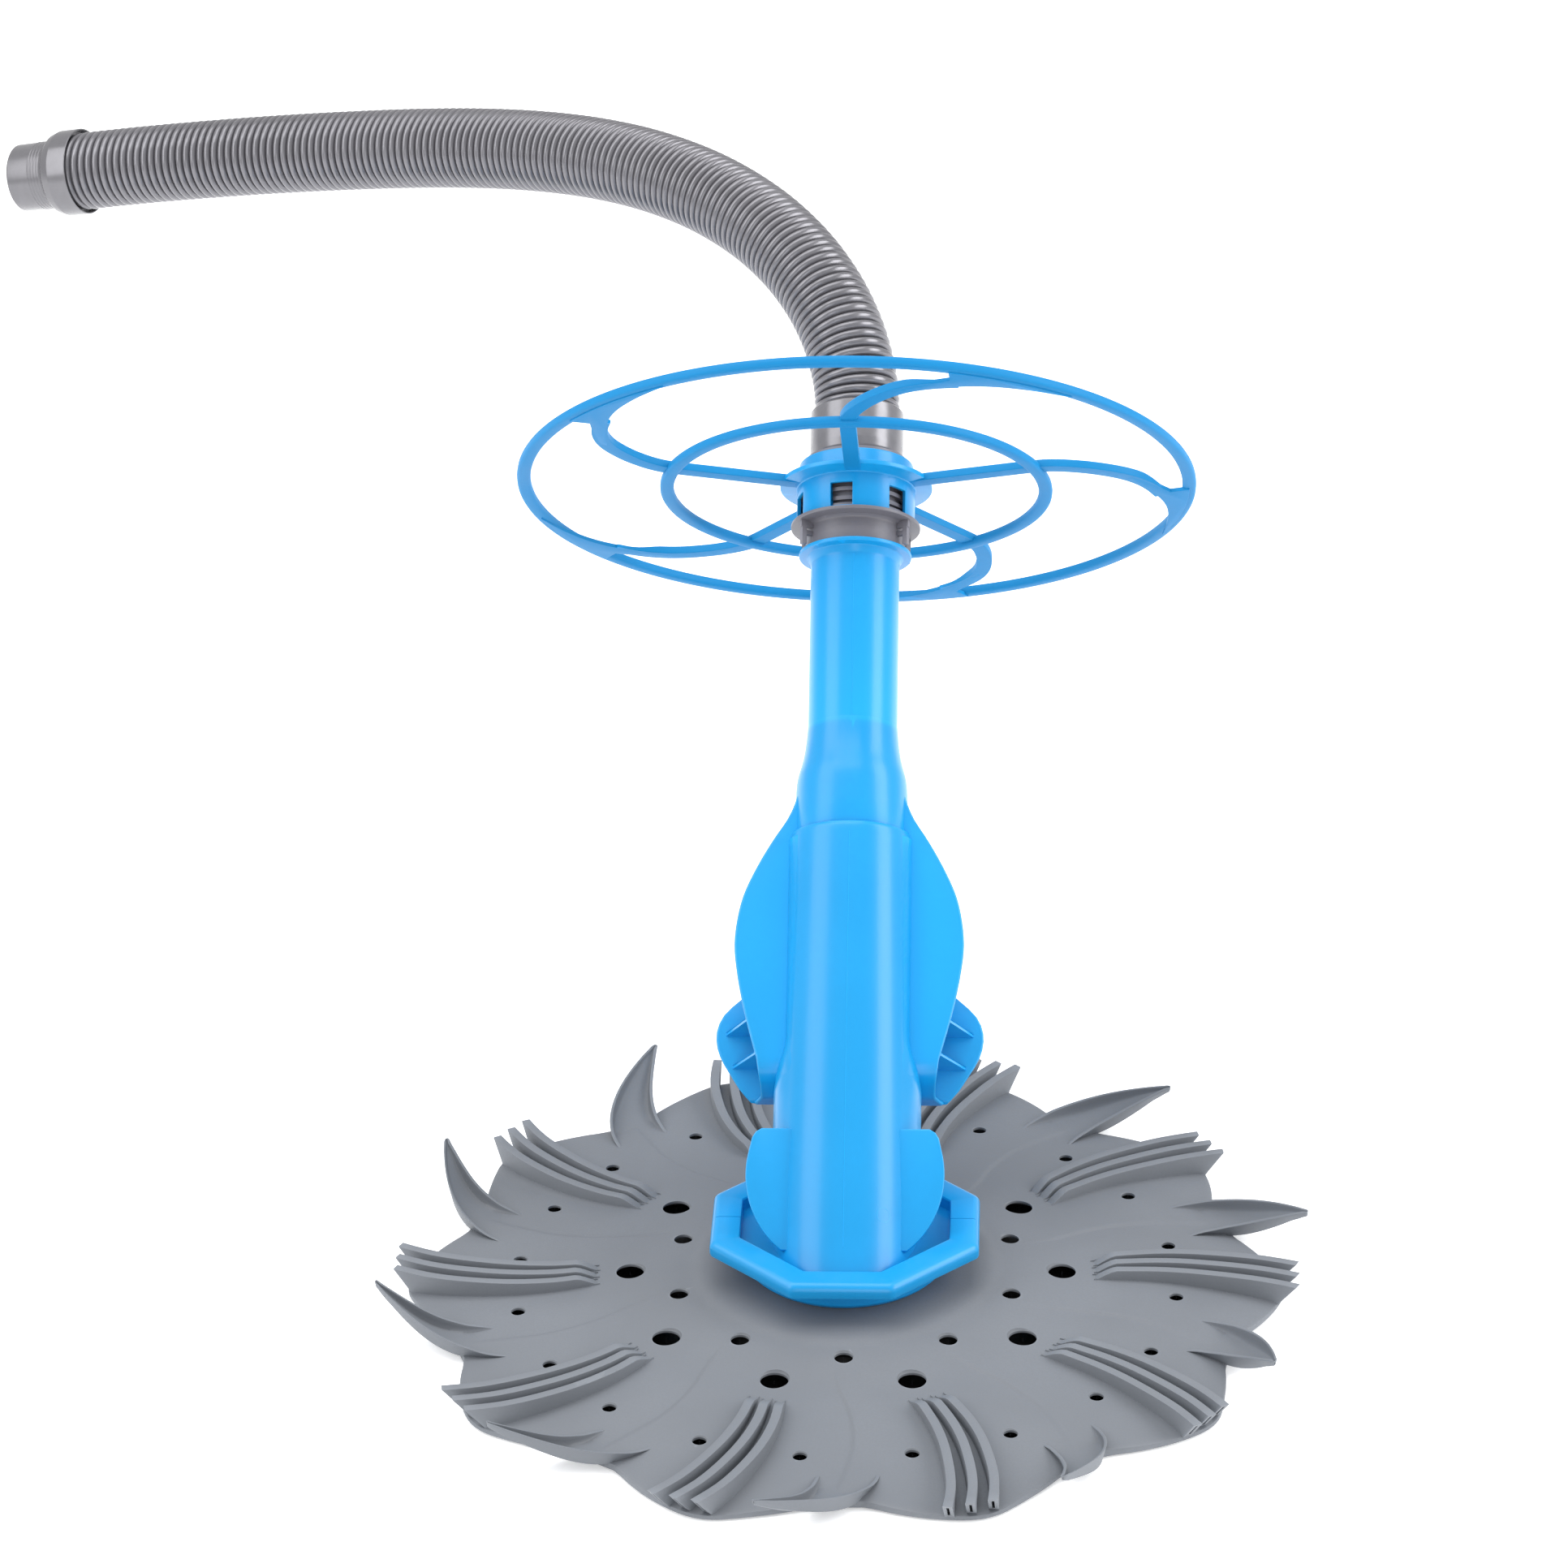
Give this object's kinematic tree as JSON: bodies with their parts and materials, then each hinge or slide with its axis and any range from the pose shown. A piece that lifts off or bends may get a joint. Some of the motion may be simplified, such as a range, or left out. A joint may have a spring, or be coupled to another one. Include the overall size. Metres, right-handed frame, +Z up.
{
  "type": "pool cleaner",
  "caption": "Suction pool cleaner with a finned rubber disc, a leaning body with side wings, a spoked deflector wheel and a corrugated hose.",
  "frame": {"origin": "on the floor under the centre of the foot, on the disc's axis of turn", "axes": "+Z up along the disc's axis; the body leans towards +Y; the hose ends towards -X and +Y"},
  "size_m": [0.7222, 0.8937, 0.4379],
  "materials": {
    "blue_plastic": "glossy moulded azure blue",
    "disc_rubber": "matte mid-grey moulded rubber",
    "black_rubber": "matte black rubber",
    "white_plastic": "satin white moulded plastic",
    "gray_plastic": "satin dark grey moulded plastic",
    "silver_plastic": "satin silver-grey blow-moulded plastic",
    "clip_steel": "spring steel"
  },
  "bodies": {
    "body": {"foot_pad": "black_rubber", "foot_spindle": "white_plastic", "foot_flange": "blue_plastic", "bumper_ring": "blue_plastic", "body_shell": "blue_plastic", "left_wing": "blue_plastic", "right_wing": "blue_plastic", "throat_liner": "white_plastic", "diaphragm": "black_rubber", "diaphragm_ring": "white_plastic", "diaphragm_seal": "black_rubber", "body_collar": "blue_plastic", "inner_pipe": "gray_plastic", "outer_pipe": "blue_plastic", "pipe_seal": "black_rubber", "swivel_sleeve": "gray_plastic", "bearing_washer": "white_plastic", "wheel_clip": "clip_steel", "cuff_seal": "black_rubber"},
    "disc": {"finned_disc": "disc_rubber"},
    "nut": {"hand_nut": "gray_plastic"},
    "wheel": {"wheel_hub": "blue_plastic", "wheel_spokes": "blue_plastic", "wheel_inner_ring": "blue_plastic", "wheel_outer_ring": "blue_plastic"},
    "hose": {"lower_cuff": "silver_plastic", "hose": "silver_plastic", "upper_cuff": "silver_plastic"}
  },
  "joints": [
    {"name": "disc_spin", "type": "hinge", "parent": "body", "child": "disc", "pos_m": [0, 0, 0.013], "axis": [0, 0, 1], "continuous": true},
    {"name": "nut_twist", "type": "hinge", "parent": "body", "child": "nut", "pos_m": [0, 0.24878, 0.29245], "axis": [0, 0.6884, 0.7254], "range_deg": [0, 30]},
    {"name": "wheel_spin", "type": "hinge", "parent": "body", "child": "wheel", "pos_m": [0, 0.26393, 0.3084], "axis": [0, 0.6884, 0.7254], "continuous": true},
    {"name": "hose_swivel", "type": "hinge", "parent": "body", "child": "hose", "pos_m": [0, 0.28802, 0.33379], "axis": [0, 0.6884, 0.7254], "continuous": true}
  ]
}
